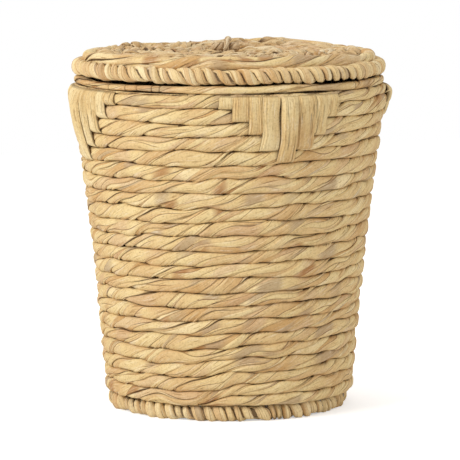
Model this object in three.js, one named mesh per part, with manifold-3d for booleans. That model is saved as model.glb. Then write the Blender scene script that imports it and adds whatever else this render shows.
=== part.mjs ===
// A round, tapered basket of twined water hyacinth with a loose flat lid, in millimetres, +Z up.
// The origin is on the ground under the middle. Azimuths start at the front, -Y, and grow towards +X.
import * as THREE from "three";
import { mergeVertices } from "three/addons/utils/BufferGeometryUtils.js";
import Module from "manifold-3d";

const wasm = await Module();
wasm.setup();

const degrees = THREE.MathUtils.degToRad;

// Clearances shared by all pieces
const seatGap = 0.3; // between two pieces that rest on each other
const wireGap = 0.6; // round a wire inside the weave

// Round stretches
const facets = 22; // straight sides of every large ring, in step with each other
const seamAzimuth = degrees(-37); // where the wall's spiral begins and each of its turns ends

// Wall: one spiral of twined strand, from the foot border to the rim
const footHeight = 18.6;
const wallHeight = 365.9;
const wallTurns = 22;
const wallFootRadius = 149; // crown of the weave at the bottom
const wallMiddleRadius = 165.5; // and half way up
const wallTopRadius = 190; // and under the rim
const outerDepth = 9; // from the crown to the wires
const grooveDepth = 4.5; // between two courses
const innerDepth = 5.5; // thickness of the inside half of the weave
const innerRibDepth = 3;
const tipThickness = 1.5; // of a tapered strand end
const firstRisePower = 0.12; // how soon the first turn reaches its full thickness
const risePowerStep = 0.08; // each turn above it climbs more evenly

// Wire frame inside the weave
const wireRadius = 1.6;
const uprightEvery = 2; // facets from one upright to the next
const uprightBends = 3;
const hubRadius = 36; // ring under the middle of the base

// Foot border
const footWall = 4; // outside the wires, under the edge of the wall
const footShelf = 7.5; // height of the shelf that the wires lie on
const footShelfDepth = 13;
const footBulge = 3.5;

// Base mat
const baseDepth = 10;
const baseRibDepth = 2.5;
const baseCourses = 7;
const baseCentreRadius = 8;

// Rim wrap round the top wire
const rimHeight = 8.9;
const rimOuterWall = 3.6; // outside the wire's slot
const rimInnerWall = 5.1;
const rimRound = 3;
const rimCover = 2.2; // weave over the wire

// Strap groups: four stepped fans of flat strands, a quarter turn apart or nearly so
const leftStraps = [
  { fromDegrees: -25.9, toDegrees: -21.3, courses: 1 },
  { fromDegrees: -21.3, toDegrees: -15.6, courses: 2 },
  { fromDegrees: -15.6, toDegrees: -10.7, courses: 3 },
  { fromDegrees: -10.7, toDegrees: -4.6, courses: 4 },
];
const middleStrap = { fromDegrees: -4.2, toDegrees: 1.5, courses: 5 };
const rightStraps = [
  { fromDegrees: 1.9, toDegrees: 7.7, courses: 4 },
  { fromDegrees: 7.7, toDegrees: 13.8, courses: 3 },
  { fromDegrees: 13.8, toDegrees: 18.7, courses: 2 },
];
const closeStraps = [
  { fromDegrees: 1.9, toDegrees: 6.1, courses: 4 },
  { fromDegrees: 6.1, toDegrees: 10.6, courses: 3 },
  { fromDegrees: 10.6, toDegrees: 14.9, courses: 2 },
  { fromDegrees: 14.9, toDegrees: 19.3, courses: 1 },
];
const strapGroups = [
  { name: "front", degrees: 0, right: rightStraps },
  { name: "right", degrees: 90, right: rightStraps },
  { name: "back", degrees: 180, right: rightStraps },
  { name: "left", degrees: 273.5, right: closeStraps },
];
const strapThickness = 4.4;
const strapEdgeShare = 0.7; // of the thickness, at a strap's edge
const strapEndShare = 0.4; // and at its tucked ends
const strapStandOff = 0.5;
const strapRound = 6; // length over which an end thins
const strapLap = 0.5; // between neighbours in one group
const bowDepth = 8; // the middle strap stands out this far
const bowPlaceShares = [0.14, 0.3, 0.62]; // down its length: bow begins, is widest, ends
const bowDepthShares = [0.85, 1, 0.35];

// Lid
const ropeHeight = 18;
const lidOverhang = 3.4; // past the rim wrap
const ropeWall = 11; // outside the lid's wires
const ropeShelf = 13; // height of the shelf above the rope's underside
const ropeShelfDepth = 6.5;
const ropeRound = 4;
const lidCourses = 10;
const lidCourseHeight = 16.5;
const lidCourseBulge = 4;
const lidDish = 7; // the lid's middle lies this much lower than its edge
const lidCentreRadius = 18;
const lidFacetSteps = [facets, 16, 16, 16, 12, 12, 12, 12, 12, 12];
const lidSpokes = 6;
const lidHubRadius = 30;

// Pull: a short bundle of strand, held down by a loop across it
const pullAzimuth = degrees(67);
const bundleRadius = 7;
const bundleLength = 34;
const bundlePlaceShares = [0, 0.12, 0.3, 0.5, 0.7, 0.88, 1];
const bundleRadiusShares = [0.45, 0.85, 1, 0.8, 1, 0.85, 0.45];
const loopRadius = 3.4;
const loopGap = 0.9; // round the bundle's waist
const pullSteps = 8;
const pullSides = 6;

// Materials
const strandColour = 0xd9b97f;
const materialFor = (colour, roughness, metalness = 0) =>
  new THREE.MeshStandardMaterial({ color: colour, roughness, metalness });

const basket = new THREE.Group();
const lid = new THREE.Group();
const part = new THREE.Group();
part.add(basket, lid);

function addPiece(body, name, geometry, colour = strandColour, roughness = 0.85, metalness = 0) {
  const mesh = new THREE.Mesh(geometry, materialFor(colour, roughness, metalness));
  mesh.name = name;
  body.add(mesh);
}

// A closed section [radius, height], counter-clockwise, turned once round the upright axis
function ringOf(section, steps = facets, start = seamAzimuth) {
  const points = section.map(([r, z]) => new THREE.Vector2(r, z));
  points.push(points[0].clone());
  const ring = new THREE.LatheGeometry(points, steps, start, 2 * Math.PI);
  return ring.rotateX(Math.PI / 2);
}

// An open profile that begins and ends on the axis, turned once round it
function discOf(profile, steps = facets, start = seamAzimuth) {
  const points = profile.map(([r, z]) => new THREE.Vector2(r, z));
  return new THREE.LatheGeometry(points, steps, start, 2 * Math.PI).rotateX(Math.PI / 2);
}

// A tube through a row of sections, each a list of corners in the same order, closed at both ends
function loftOf(sections) {
  const corners = sections[0].length;
  const positions = sections.flat().flatMap((point) => point.toArray());
  const index = [];
  for (let i = 0; i + 1 < sections.length; i += 1) {
    for (let j = 0; j < corners; j += 1) {
      const next = (j + 1) % corners;
      const a = i * corners + j;
      const b = a + corners;
      const d = i * corners + next;
      index.push(a, b, d, d + corners, d, b);
    }
  }
  const last = (sections.length - 1) * corners;
  for (let j = 1; j + 1 < corners; j += 1) {
    index.push(0, j, j + 1);
    index.push(last, last + j + 1, last + j);
  }
  const geometry = new THREE.BufferGeometry();
  geometry.setAttribute("position", new THREE.Float32BufferAttribute(positions, 3));
  geometry.setIndex(index);
  return geometry;
}

// A point at a radius, azimuth and height
const polar = (radius, azimuth, height) =>
  new THREE.Vector3(radius * Math.sin(azimuth), -radius * Math.cos(azimuth), height);

// The pieces of a list, joined into one solid
function joined(geometries) {
  const solids = geometries.map((geometry) => {
    const bare = geometry.clone();
    bare.deleteAttribute("normal");
    bare.deleteAttribute("uv");
    const merged = mergeVertices(bare);
    return new wasm.Manifold(
      new wasm.Mesh({
        numProp: 3,
        vertProperties: Float32Array.from(merged.attributes.position.array),
        triVerts: Uint32Array.from(merged.index.array),
      }),
    );
  });
  const mesh = solids.reduce((whole, next) => whole.add(next)).getMesh();
  const geometry = new THREE.BufferGeometry();
  geometry.setAttribute("position", new THREE.Float32BufferAttribute(mesh.vertProperties, 3));
  geometry.setIndex(Array.from(mesh.triVerts));
  return geometry;
}

// Heights and radii that several pieces share
const wallBottom = footHeight;
const wallTop = wallBottom + wallHeight;
const coursePitch = wallHeight / wallTurns;
const wireSpace = 2 * wireRadius + 2 * wireGap;

// Radius of the wall's crown at a height, a parabola through its three named radii.
// Below and above the wall it stays as it is at the wall's end.
function wallRadius(height) {
  const t = THREE.MathUtils.clamp((height - wallBottom) / wallHeight, 0, 1);
  const low = wallFootRadius * (1 - t) * (1 - 2 * t);
  const middle = wallMiddleRadius * 4 * t * (1 - t);
  const high = wallTopRadius * t * (2 * t - 1);
  return low + middle + high;
}
const wireLine = (height) => wallRadius(height) - outerDepth - wireGap - wireRadius;
const innerSkin = (height) => wallRadius(height) - outerDepth - wireSpace;

// Height of the joint under turn number turn, at a share of the way round from the seam
function courseJoint(turn, share) {
  if (turn === 0) return wallBottom;
  if (turn > wallTurns) return wallTop;
  const power = Math.min(1, firstRisePower + (turn - 1) * risePowerStep);
  const height = wallBottom + coursePitch * (turn - 1 + share ** power);
  return THREE.MathUtils.clamp(height, wallBottom + tipThickness, wallTop - tipThickness);
}

// One turn of the wall's spiral: flat against the wires, rounded outside, between two joints
function wallCourse(turn) {
  const sections = [];
  for (let step = 0; step <= facets; step += 1) {
    const share = step / facets;
    const low = courseJoint(turn, share) + seatGap / 2;
    const high = courseJoint(turn + 1, share) - seatGap / 2;
    const middle = (low + high) / 2;
    const bulge = grooveDepth * Math.min(1, (high - low) / coursePitch);
    const shoulder = grooveDepth;
    const endGap = step === facets ? seatGap / wallRadius(middle) : 0;
    const azimuth = seamAzimuth + 2 * Math.PI * share - endGap;
    sections.push([
      polar(wallRadius(low) - outerDepth, azimuth, low),
      polar(wallRadius(low) - shoulder, azimuth, low),
      polar(wallRadius(middle) - shoulder + bulge, azimuth, middle),
      polar(wallRadius(high) - shoulder, azimuth, high),
      polar(wallRadius(high) - outerDepth, azimuth, high),
    ]);
  }
  return loftOf(sections);
}
for (let turn = 0; turn <= wallTurns; turn += 1) {
  addPiece(basket, `wall_course_${String(turn + 1).padStart(2, "0")}`, wallCourse(turn));
}

// Heights inside the foot
const wireFloor = footShelf + seatGap + wireRadius;
const baseBottom = wireFloor + wireRadius + seatGap;
const baseTop = baseBottom + baseDepth;

// Inside half of the wall's weave: smooth against the wires, a rib for each course inside
function innerWeave() {
  const bottom = baseBottom;
  const top = wallTop - seatGap;
  const section = [];
  for (let bend = 0; bend <= uprightBends; bend += 1) {
    const height = bottom + ((top - bottom) * bend) / uprightBends;
    section.push([innerSkin(height), height]);
  }
  const ribPitch = (top - bottom) / wallTurns;
  for (let rib = 0; rib < wallTurns; rib += 1) {
    const joint = top - rib * ribPitch;
    const crown = joint - ribPitch / 2;
    section.push([innerSkin(joint) - innerDepth + innerRibDepth, joint]);
    section.push([innerSkin(crown) - innerDepth, crown]);
  }
  section.push([innerSkin(bottom) - innerDepth + innerRibDepth, bottom]);
  return ringOf(section);
}
addPiece(basket, "inner_weave", innerWeave(), 0xcba86c);

// A wire of four sides through points [radius, height] of one upright plane
function wireInPlane(points, azimuth) {
  const flat = points.map(([r, z]) => new THREE.Vector2(r, z));
  const along = new THREE.Vector3(Math.cos(azimuth), Math.sin(azimuth), 0);
  const sections = flat.map((point, i) => {
    const before = flat[Math.max(0, i - 1)];
    const after = flat[Math.min(flat.length - 1, i + 1)];
    const into = point.clone().sub(before).normalize();
    const out = after.clone().sub(point).normalize();
    const heading = into.add(out).normalize();
    const side = polar(heading.y, azimuth, -heading.x);
    const centre = polar(point.x, azimuth, point.y);
    const reach = [side, along.clone().negate(), side.clone().negate(), along];
    return reach.map((way) => centre.clone().addScaledVector(way, wireRadius));
  });
  return loftOf(sections);
}

// A wire ring of four sides
function wireRing(radius, height, steps = facets) {
  return ringOf(
    [
      [radius - wireRadius, height],
      [radius, height - wireRadius],
      [radius + wireRadius, height],
      [radius, height + wireRadius],
    ],
    steps,
  );
}

// Frame of the basket: top ring, foot ring and hub, with uprights that turn in under the base
const rimBottom = wallTop + 2 * seatGap;
const rimWireHeight = rimBottom + rimHeight - rimCover - wireGap - wireRadius;
const rimWireRadius = wireLine(wallTop);
function basketFrame() {
  const pieces = [
    wireRing(rimWireRadius, rimWireHeight),
    wireRing(wireLine(wireFloor), wireFloor),
    wireRing(hubRadius, wireFloor, facets / uprightEvery),
  ];
  for (let facet = 0; facet < facets; facet += uprightEvery) {
    const azimuth = seamAzimuth + (2 * Math.PI * facet) / facets;
    const points = [[rimWireRadius, rimWireHeight]];
    for (let bend = uprightBends; bend > 0; bend -= 1) {
      const height = wireFloor + ((wallTop - wireFloor) * bend) / uprightBends;
      points.push([wireLine(height), height]);
    }
    points.push([wireLine(wireFloor), wireFloor]);
    points.push([hubRadius, wireFloor]);
    pieces.push(wireInPlane(points, azimuth));
  }
  return joined(pieces);
}
addPiece(basket, "wire_frame", basketFrame(), 0x6e6a62, 0.45, 0.9);

// Foot border: a flat underside, a bulging outside and a shelf that the wires lie on
function footBorder() {
  const wallInside = wallFootRadius - outerDepth;
  const footRadius = wallInside + footWall;
  const footInnerRadius = wallInside - footShelfDepth;
  const top = footHeight - seatGap / 2;
  return ringOf([
    [footInnerRadius, 0],
    [footRadius - footBulge, 0],
    [footRadius, footHeight / 3],
    [footRadius, (2 * footHeight) / 3],
    [footRadius - footBulge / 2, top],
    [wallInside, top],
    [wallInside, footShelf],
    [footInnerRadius, footShelf],
  ]);
}
addPiece(basket, "foot_border", footBorder(), 0xd2ae72);

// Base mat: one flat spiral of strand over the wires, flat below and ribbed on top
function baseMat() {
  const radius = innerSkin(baseBottom) - innerDepth - seatGap;
  const pitch = (radius - baseCentreRadius) / baseCourses;
  const lower = [];
  const upper = [];
  for (let course = 0; course < baseCourses; course += 1) {
    const inside = baseCentreRadius + course * pitch;
    upper.push([inside, baseTop - baseRibDepth], [inside + pitch / 2, baseTop]);
  }
  lower.push([0, baseBottom], [radius, baseBottom]);
  upper.push([radius, baseTop - baseRibDepth]);
  return discOf([...lower, ...upper.reverse(), [0, baseTop - baseRibDepth]]);
}
addPiece(basket, "base_mat", baseMat(), 0xcba86c);

// Rim wrap: strand wound round the top wire, open below where the uprights come in
const slotInside = rimWireRadius - wireRadius - wireGap;
const slotOutside = rimWireRadius + wireRadius + wireGap;
const rimRadius = slotOutside + rimOuterWall;
const rimInnerRadius = slotInside - rimInnerWall;
function rimWrap() {
  const top = rimBottom + rimHeight;
  const slotTop = top - rimCover;
  return ringOf([
    [slotOutside, rimBottom],
    [rimRadius - rimRound, rimBottom],
    [rimRadius, rimBottom + rimRound],
    [rimRadius, top - rimRound],
    [rimRadius - rimRound, top],
    [rimInnerRadius + rimRound, top],
    [rimInnerRadius, top - rimRound],
    [rimInnerRadius, rimBottom],
    [slotInside, rimBottom],
    [slotInside, slotTop],
    [slotOutside, slotTop],
  ]);
}
addPiece(basket, "rim_wrap", rimWrap(), 0xd9b97f);

// A flat strap in one upright plane: stations [radius of its back, height, share of its thickness]
function strapInPlane(stations, azimuth, width) {
  const across = new THREE.Vector3(Math.cos(azimuth), Math.sin(azimuth), 0);
  const at = (radius, height, offset) =>
    polar(radius, azimuth, height).addScaledVector(across, offset);
  const sections = stations.map(([radius, height, share]) => {
    const crown = strapThickness * share;
    const edge = crown * strapEdgeShare;
    const half = width / 2;
    return [
      at(radius, height, -half),
      at(radius + edge, height, -half),
      at(radius + crown, height, 0),
      at(radius + edge, height, half),
      at(radius, height, half),
    ];
  });
  return loftOf(sections);
}

const strapTop = rimBottom - seatGap;
const strapBottom = (courses) => wallTop - courses * coursePitch + seatGap;
const strapBack = (height) => wallRadius(height) + strapStandOff;
const strapWidth = (strap) => wallTopRadius * degrees(strap.toDegrees - strap.fromDegrees);
const strapAzimuth = (strap, group) => group + degrees((strap.fromDegrees + strap.toDegrees) / 2);

// Straps of one side of a group, lapped into each other at their edges
function strapSide(straps, group) {
  const bands = straps.map((strap) => {
    const bottom = strapBottom(strap.courses);
    const stations = [
      [strapTop, strapEndShare],
      [strapTop - strapRound, 1],
      [bottom + strapRound, 1],
      [bottom, strapEndShare],
    ].map(([height, share]) => [strapBack(height), height, share]);
    return strapInPlane(stations, strapAzimuth(strap, group), strapWidth(strap) + strapLap);
  });
  return joined(bands);
}

// Middle strap of a group, the longest, which bows away from the wall below the rim
function bowedStrap(group) {
  const bottom = strapBottom(middleStrap.courses);
  const drop = strapTop - bottom;
  const bow = bowPlaceShares.map((place, i) => {
    const height = strapTop - drop * place;
    return [strapBack(height) + bowDepth * bowDepthShares[i], height, 1];
  });
  const stations = [
    [strapBack(strapTop) + strapThickness * strapEndShare, strapTop, strapEndShare],
    ...bow,
    [strapBack(bottom + strapRound), bottom + strapRound, 1],
    [strapBack(bottom), bottom, strapEndShare],
  ];
  return strapInPlane(stations, strapAzimuth(middleStrap, group), strapWidth(middleStrap));
}
for (const { name, degrees: around, right } of strapGroups) {
  const group = degrees(around);
  addPiece(basket, `strap_fan_${name}_left`, strapSide(leftStraps, group), 0xe0c48f);
  addPiece(basket, `strap_fan_${name}_right`, strapSide(right, group), 0xe0c48f);
  addPiece(basket, `strap_middle_${name}`, bowedStrap(group), 0xe3c994);
}

// Radii and heights of the lid
const ropeRadius = rimRadius + lidOverhang;
const ropeUpperRadius = ropeRadius - ropeWall;
const ropeInnerRadius = ropeUpperRadius - ropeShelfDepth;
const ropeBottom = rimBottom + rimHeight + seatGap;
const ropeTop = ropeBottom + ropeHeight;
const lidShelf = ropeBottom + ropeShelf;
const lidWireHeight = lidShelf + seatGap + wireRadius;
const lidWireRadius = ropeUpperRadius - wireGap - wireRadius;
const lidCourseBottom = lidWireHeight + wireRadius + seatGap;
const lidTop = lidCourseBottom + lidCourseHeight;

// Edge rope of the lid, with a shelf inside that carries the lid's wires
function edgeRope() {
  return ringOf([
    [ropeInnerRadius + ropeRound, ropeBottom],
    [ropeRadius - ropeRound, ropeBottom],
    [ropeRadius, ropeBottom + ropeHeight / 3],
    [ropeRadius, ropeTop - ropeHeight / 3],
    [ropeRadius - ropeRound, ropeTop],
    [ropeUpperRadius + ropeRound / 2, ropeTop],
    [ropeUpperRadius, ropeTop - ropeRound],
    [ropeUpperRadius, lidShelf],
    [ropeInnerRadius, lidShelf],
    [ropeInnerRadius, ropeBottom + ropeRound],
  ]);
}
addPiece(lid, "lid_edge_rope", edgeRope(), 0xd6b274);

// Frame of the lid: a ring inside the edge rope, a hub and spokes
function lidFrame() {
  const pieces = [
    wireRing(lidWireRadius, lidWireHeight),
    wireRing(lidHubRadius, lidWireHeight, lidSpokes),
  ];
  for (let spoke = 0; spoke < lidSpokes; spoke += 1) {
    const azimuth = seamAzimuth + (2 * Math.PI * spoke) / lidSpokes;
    const ends = [
      [lidWireRadius, lidWireHeight],
      [lidHubRadius, lidWireHeight],
    ];
    pieces.push(wireInPlane(ends, azimuth));
  }
  return joined(pieces);
}
addPiece(lid, "lid_wire_frame", lidFrame(), 0x6e6a62, 0.45, 0.9);

// Rounds of twisted strand on the lid, from the edge inwards. Where the next round has fewer facets,
// it keeps clear of the flats of the round outside it.
const lidOuterRadius = ropeUpperRadius - 4 * seatGap;
const lidPitch = (lidOuterRadius - lidCentreRadius) / lidCourses;
const lidTopAt = (radius) => lidTop - lidDish * (1 - (radius / lidOuterRadius) ** 2);
function lidCourse(round) {
  const steps = lidFacetSteps[round];
  const stepsOutside = lidFacetSteps[Math.max(0, round - 1)];
  const flats = steps === stepsOutside ? 1 : Math.cos(Math.PI / stepsOutside);
  const outside = (lidOuterRadius - round * lidPitch) * flats;
  const inside = lidOuterRadius - (round + 1) * lidPitch + seatGap;
  const crown = lidTopAt((inside + outside) / 2);
  const shoulder = crown - lidCourseBulge;
  return ringOf(
    [
      [inside, lidCourseBottom],
      [outside, lidCourseBottom],
      [outside, shoulder],
      [(inside + outside) / 2, crown],
      [inside, shoulder],
    ],
    steps,
  );
}
for (let round = 0; round < lidCourses; round += 1) {
  addPiece(lid, `lid_course_${String(round + 1).padStart(2, "0")}`, lidCourse(round));
}

// Centre of the lid's spiral, flat on top under the pull
const lidCentreTop = lidTopAt(0) - seatGap;
function lidCentre() {
  const steps = lidFacetSteps[lidCourses - 1];
  const profile = [
    [0, lidCourseBottom],
    [lidCentreRadius, lidCourseBottom],
    [lidCentreRadius, lidCentreTop],
    [0, lidCentreTop],
  ];
  return discOf(profile, steps);
}
addPiece(lid, "lid_centre_coil", lidCentre());

// Corners of a round section, in the plane of two square directions
function roundSection(centre, side, across, radius) {
  const corners = [];
  for (let corner = 0; corner < pullSides; corner += 1) {
    const angle = (-2 * Math.PI * corner) / pullSides;
    corners.push(
      centre
        .clone()
        .addScaledVector(side, radius * Math.cos(angle))
        .addScaledVector(across, radius * Math.sin(angle)),
    );
  }
  return corners;
}

// A bundle of strand that lies on the lid, thick at both lobes and drawn in between them
const pullSeat = lidCentreTop + seatGap;
const bundleWaist = bundleRadius * Math.min(...bundleRadiusShares.slice(1, -1));
function pullBundle() {
  const up = new THREE.Vector3(0, 0, 1);
  const across = new THREE.Vector3(Math.cos(pullAzimuth), Math.sin(pullAzimuth), 0);
  const sections = bundlePlaceShares.map((place, i) => {
    const radius = bundleRadius * bundleRadiusShares[i];
    const centre = polar(bundleLength * (place - 1 / 2), pullAzimuth, pullSeat + radius);
    return roundSection(centre, up.clone().negate(), across, radius);
  });
  return loftOf(sections);
}
addPiece(lid, "pull_bundle", pullBundle(), 0xc9a26a);

// A loop of strand over the bundle's waist, with both feet square on the lid
function pullLoop() {
  const azimuth = pullAzimuth + Math.PI / 2;
  const across = new THREE.Vector3(Math.cos(azimuth), Math.sin(azimuth), 0);
  const clear = bundleWaist + loopGap + loopRadius;
  const rise = bundleWaist + clear;
  const reach = clear / Math.sqrt(1 - (bundleWaist / rise) ** 2);
  const sections = [];
  for (let step = 0; step <= pullSteps; step += 1) {
    const turn = (Math.PI * step) / pullSteps;
    const centre = polar(-reach * Math.cos(turn), azimuth, pullSeat + rise * Math.sin(turn));
    const heading = new THREE.Vector2(reach * Math.sin(turn), rise * Math.cos(turn)).normalize();
    const side = polar(heading.y, azimuth, -heading.x);
    sections.push(roundSection(centre, side, across, loopRadius));
  }
  return loftOf(sections);
}
addPiece(lid, "pull_loop", pullLoop(), 0xcfae76);

export default part;
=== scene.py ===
import math

import bpy
import numpy as np
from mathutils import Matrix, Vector


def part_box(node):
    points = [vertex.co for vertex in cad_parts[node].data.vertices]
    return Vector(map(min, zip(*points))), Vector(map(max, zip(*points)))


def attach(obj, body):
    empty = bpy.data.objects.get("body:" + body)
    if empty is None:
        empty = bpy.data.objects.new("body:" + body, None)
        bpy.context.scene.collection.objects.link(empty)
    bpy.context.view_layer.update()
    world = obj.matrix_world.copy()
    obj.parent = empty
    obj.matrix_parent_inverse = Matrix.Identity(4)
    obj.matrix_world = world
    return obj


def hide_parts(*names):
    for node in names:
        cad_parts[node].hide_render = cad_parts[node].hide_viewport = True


# A round basket of twined water hyacinth with a loose lid, dressed over its CAD frame. Metres, +Z up.
# Azimuths start at the front, -Y, and grow towards +X.
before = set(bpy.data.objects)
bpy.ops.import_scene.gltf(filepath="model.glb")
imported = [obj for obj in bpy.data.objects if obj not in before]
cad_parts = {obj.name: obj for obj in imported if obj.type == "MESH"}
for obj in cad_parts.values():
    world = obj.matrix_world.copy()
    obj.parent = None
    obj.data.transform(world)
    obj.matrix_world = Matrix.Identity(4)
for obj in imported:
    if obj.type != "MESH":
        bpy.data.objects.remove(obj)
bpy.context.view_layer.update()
mm = 0.001
fullTurn = 2 * math.pi
cameraDegrees = -22.7  # azimuth of the side that the camera sees


# Small helpers

def deselectAll():
    for thing in bpy.context.selected_objects:
        thing.select_set(False)


# A slow seeded wave: a few sines whose lengths lie between two limits, about one in size.
# On a ring each sine fits a whole number of times.
def waver(seed, shortest, longest, ringLength=None):
    dice = np.random.default_rng(seed)
    lengths = dice.uniform(shortest, longest, 5)
    starts = dice.uniform(0, fullTurn, 5)
    if ringLength:
        lengths = ringLength / np.maximum(1, np.rint(ringLength / lengths))
    return lambda along: sum(
        np.sin(fullTurn * along / length + start) for length, start in zip(lengths, starts)
    ) / math.sqrt(2.5)


def smoothStep(share):
    share = np.clip(share, 0, 1)
    return share * share * (3 - 2 * share)


# Unit vectors at an azimuth: outwards, and along the ring
def outward(azimuth):
    azimuth = np.asarray(azimuth, float)
    return np.stack([np.sin(azimuth), -np.cos(azimuth), 0 * azimuth], -1)


def sideways(azimuth):
    azimuth = np.asarray(azimuth, float)
    return np.stack([np.cos(azimuth), np.sin(azimuth), 0 * azimuth], -1)


# A grid primitive re-posed as a tube. Rows run along it and columns round it, the last column and,
# on a ring, the last row lying on the first. Its attributes steer the finishes: run holds metres along, bent
# round on a ring, and the place across; leaf the number of a leaf and the place across it; paintedShade the
# painted shade in the creases, beside neighbours and in the notches.
def tubeFromGrid(name, points, attributes):
    rows, columns = points.shape[:2]
    deselectAll()
    bpy.ops.mesh.primitive_grid_add(x_subdivisions=rows - 1, y_subdivisions=columns - 1, size=1)
    piece = bpy.context.object
    piece.name = piece.data.name = name
    mesh = piece.data
    flat = np.empty(len(mesh.vertices) * 3)
    mesh.vertices.foreach_get("co", flat)
    flat = flat.reshape(-1, 3)
    row = np.rint((flat[:, 0] + 0.5) * (rows - 1)).astype(int)
    column = np.rint((flat[:, 1] + 0.5) * (columns - 1)).astype(int)
    mesh.vertices.foreach_set("co", points[row, column].ravel())
    for key, values in attributes.items():
        kind, field = ("FLOAT_VECTOR", "vector") if values.ndim == 3 else ("FLOAT", "value")
        mesh.attributes.new(key, kind, "POINT").data.foreach_set(field, values[row, column].ravel())
    mesh.update()
    return piece


# Adds a pole row at each open end of a tube, and repeats the attributes there
def closeEnds(points, attributes):
    pole = lambda row: row.mean(1, keepdims=True) + 0 * row
    points = np.concatenate([pole(points[:1]), points, pole(points[-1:])])
    return points, {key: np.concatenate([grid[:1], grid, grid[-1:]]) for key, grid in attributes.items()}


# Joins loose tubes into one piece, merges their seams and poles and turns their faces outwards
def finishTubes(name, tubes):
    deselectAll()
    for tube in tubes:
        tube.select_set(True)
    piece = tubes[0]
    bpy.context.view_layer.objects.active = piece
    if len(tubes) > 1:
        bpy.ops.object.join()
    piece.name = piece.data.name = name
    bpy.ops.object.mode_set(mode="EDIT")
    bpy.ops.mesh.select_all(action="SELECT")
    bpy.ops.mesh.remove_doubles(threshold=0.002 * mm)
    bpy.ops.mesh.normals_make_consistent(inside=False)
    bpy.ops.object.mode_set(mode="OBJECT")
    bpy.ops.object.shade_smooth_by_angle(angle=math.radians(55))
    return piece


def settle(piece, body, nodes, finish):
    piece.data.materials.clear()
    piece.data.materials.append(finish)
    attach(piece, body)
    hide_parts(*nodes)
    return piece


# Finishes

def linearColour(text):
    channels = [int(text[i:i + 2], 16) / 255 for i in (1, 3, 5)]
    return [c / 12.92 if c <= 0.04045 else ((c + 0.055) / 1.055) ** 2.4 for c in channels] + [1]


# Adds one node with its settings, and links or sets its inputs by name or number
def addNode(tree, kind, settings=None, **inputs):
    node = tree.nodes.new(kind)
    for key, value in (settings or {}).items():
        setattr(node, key, value)
    for key, value in inputs.items():
        socket = node.inputs[int(key[1:])] if key[0] == "_" else node.inputs[key.replace("_", " ")]
        if isinstance(value, bpy.types.NodeSocket):
            tree.links.new(value, socket)
        else:
            socket.default_value = value
    return node


def newFinish(name, roughness, specular):
    finish = bpy.data.materials.new(name)
    finish.use_nodes = True
    tree = finish.node_tree
    tree.nodes.clear()
    shader = addNode(tree, "ShaderNodeBsdfPrincipled", Roughness=roughness)
    shader.inputs["Specular IOR Level"].default_value = specular
    addNode(tree, "ShaderNodeOutputMaterial", Surface=shader.outputs[0])
    return finish, tree, shader


def mathNode(tree, operation, first, second=0.0):
    return addNode(tree, "ShaderNodeMath", {"operation": operation}, _0=first, _1=second).outputs[0]


# The second colour laid over the first by an amount from 0 to 1
def mixColours(tree, amount, first, second):
    node = addNode(tree, "ShaderNodeMix", {"data_type": "RGBA"}, _0=amount)
    for socket, value in ((node.inputs[6], first), (node.inputs[7], second)):
        if isinstance(value, bpy.types.NodeSocket):
            tree.links.new(value, socket)
        else:
            socket.default_value = value
    return node.outputs[2]


# A value's rise from 0 to 1 between two limits
def rise(tree, value, low, high):
    return addNode(tree, "ShaderNodeMapRange", None, _0=value, _1=low, _2=high).outputs[0]


def colourRamp(tree, value, stops):
    node = addNode(tree, "ShaderNodeValToRGB", None, _0=value)
    elements = node.color_ramp.elements
    for i, (position, colour) in enumerate(stops):
        element = elements[i] if i < 2 else elements.new(position)
        element.position = position
        element.color = linearColour(colour)
    return node.outputs[0]


# Dried water hyacinth stems, flattened and twisted by hand: matt straw, each leaf of a strand dried to its own
# tone, long fibres along it, a few rosy, grey or rust leaves, pale edges on some leaves that are bleaching and
# painted highlight, thin dark lines of painted shade at the foot of some leaves, and painted shade in the creases.
# A share is how far its colour covers what is under it, where it is strongest.
strandLook = {
    "tones": ((0.3, "#cda46c"), (0.4, "#d9b681"), (0.5, "#e1c38b"), (0.6, "#e7cd95"), (0.7, "#eed6a4")),
    "streakShare": 0.22,  # of a tone, the rest going by the leaf
    "grey": "#b39877", "greyShare": 0.7,
    "rosy": "#d0ab84", "rosyShare": 0.5,
    "rust": "#a46d3b", "rustShare": 0.75,
    # the pale colour: bleached fibres, and a painted highlight on the raised edge of some leaves
    "bleachAndHighlight": "#f2e6cc", "edgeHighlightShare": 0.3, "lightShare": 0.35,
    "fibre": "#93693a", "lineShare": 0.7, "speckleShare": 0.2,
    # fleck: dark flecks, and also the colour of the thin painted shade at the foot of some leaves' steps
    "fleck": "#70482a", "fleckShare": 0.7, "seamShadeShare": 0.75,
    # the colour of the painted shade in creases, beside neighbours, in notches and in chinks
    "crease": "#432611", "creaseShadeShare": 0.85,
    "leafLength": 90 * mm,
    "patchLength": 55 * mm,
    "streakLength": 20 * mm,
    "speckle": 2.4 * mm,  # coarser than the real dust and pores, so that it shows
    "fibreWidth": 0.075,  # of a strand's width, about 1.5 mm, coarser than the real fibre so that it shows
    "fibreRelief": 0.6, "fibreHeight": 0.6 * mm,
    "roughness": 0.8,
    "specular": 0.2,
}


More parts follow.
